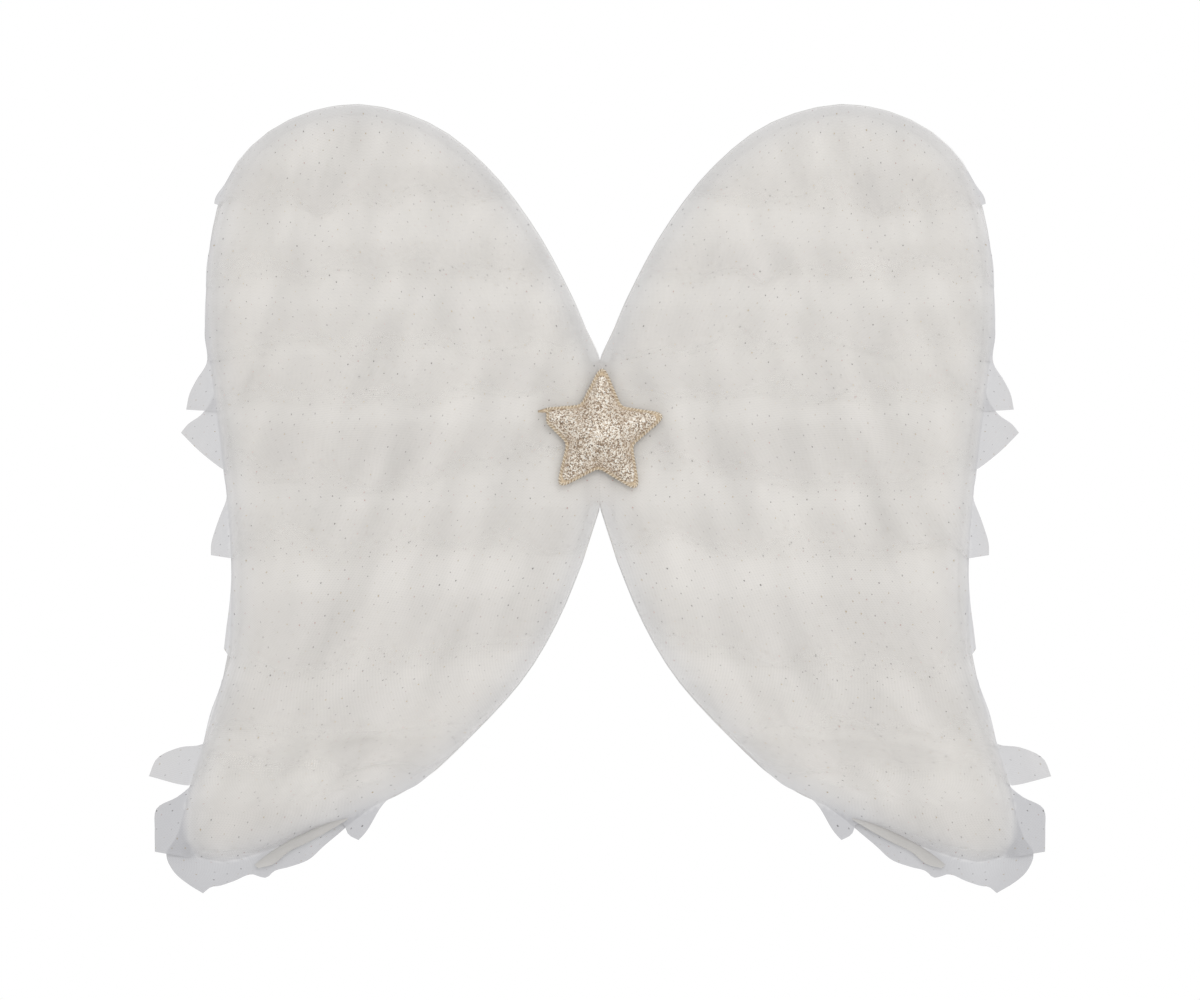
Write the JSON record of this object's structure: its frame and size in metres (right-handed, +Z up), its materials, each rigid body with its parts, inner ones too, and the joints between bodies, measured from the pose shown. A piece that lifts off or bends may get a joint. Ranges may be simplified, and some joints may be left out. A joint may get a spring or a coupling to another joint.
{
  "type": "fairy wings",
  "caption": "Child's costume fairy wings: tulle tiers on two folding wire loops, with a stuffed glitter star at the centre and elastic shoulder loops behind.",
  "frame": {"origin": "middle of the back pad's rear face, where the wings lie against the wearer's back", "axes": "+Z up, +X to the right seen from the front (the star's side), +Y towards the wearer"},
  "size_m": [0.4994, 0.1155, 0.4354],
  "materials": {
    "tulle": "matt sheer net with scattered foil dots",
    "cover_net": "matt plain net",
    "felt": "matt felt",
    "elastic": "matt ribbed elastic webbing",
    "thread": "satin sewing thread",
    "spring_steel": "plain drawn wire",
    "ferrule": "plain crimped tube",
    "glitter_fabric": "champagne-gold glitter",
    "wadding": "loose fibre"
  },
  "bodies": {
    "centre": {"back_pad": "felt", "centre_panel": "felt", "centre_tulle_bunch": "tulle", "star_front_cover": "glitter_fabric", "star_back_cover": "felt", "star_filling": "wadding"},
    "left_wing": {"left_wing_wire": "spring_steel", "left_wire_ferrule": "ferrule", "left_rear_cover": "cover_net", "left_front_cover": "cover_net", "left_tulle_tier_01": "tulle", "left_tulle_tier_02": "tulle", "left_tulle_tier_03": "tulle", "left_tulle_tier_04": "tulle", "left_tulle_tier_05": "tulle", "left_tulle_tier_06": "tulle", "left_tulle_tier_07": "tulle", "left_tulle_tier_08": "tulle", "left_tulle_tier_09": "tulle", "left_tulle_tier_10": "tulle", "left_tulle_tier_11": "tulle"},
    "left_strap": {"left_shoulder_strap": "elastic", "left_upper_strap_tack": "thread", "left_lower_strap_tack": "thread"},
    "right_wing": {"right_wing_wire": "spring_steel", "right_wire_ferrule": "ferrule", "right_rear_cover": "cover_net", "right_front_cover": "cover_net", "right_tulle_tier_01": "tulle", "right_tulle_tier_02": "tulle", "right_tulle_tier_03": "tulle", "right_tulle_tier_04": "tulle", "right_tulle_tier_05": "tulle", "right_tulle_tier_06": "tulle", "right_tulle_tier_07": "tulle", "right_tulle_tier_08": "tulle", "right_tulle_tier_09": "tulle", "right_tulle_tier_10": "tulle", "right_tulle_tier_11": "tulle"},
    "right_strap": {"right_shoulder_strap": "elastic", "right_upper_strap_tack": "thread", "right_lower_strap_tack": "thread"}
  },
  "joints": [
    {"name": "right_wing_fold", "type": "hinge", "parent": "centre", "child": "right_wing", "pos_m": [0.009, -0.00165, 0], "axis": [0, 0, 1], "range_deg": [-3, 80]},
    {"name": "left_wing_fold", "type": "hinge", "parent": "centre", "child": "left_wing", "pos_m": [-0.009, -0.00165, 0], "axis": [0, 0, -1], "range_deg": [-3, 80]},
    {"name": "right_strap_swing", "type": "hinge", "parent": "centre", "child": "right_strap", "pos_m": [0.0051, -0.0012, 0], "axis": [0, 0, 1], "range_deg": [-1.2, 27.5]},
    {"name": "left_strap_swing", "type": "hinge", "parent": "centre", "child": "left_strap", "pos_m": [-0.0051, -0.0012, 0], "axis": [0, 0, -1], "range_deg": [-1.2, 27.5]}
  ],
  "couplings": [
    {"joint": "right_strap_swing", "follows": "right_wing_fold", "ratio": 0.3375},
    {"joint": "left_strap_swing", "follows": "left_wing_fold", "ratio": 0.3375}
  ]
}
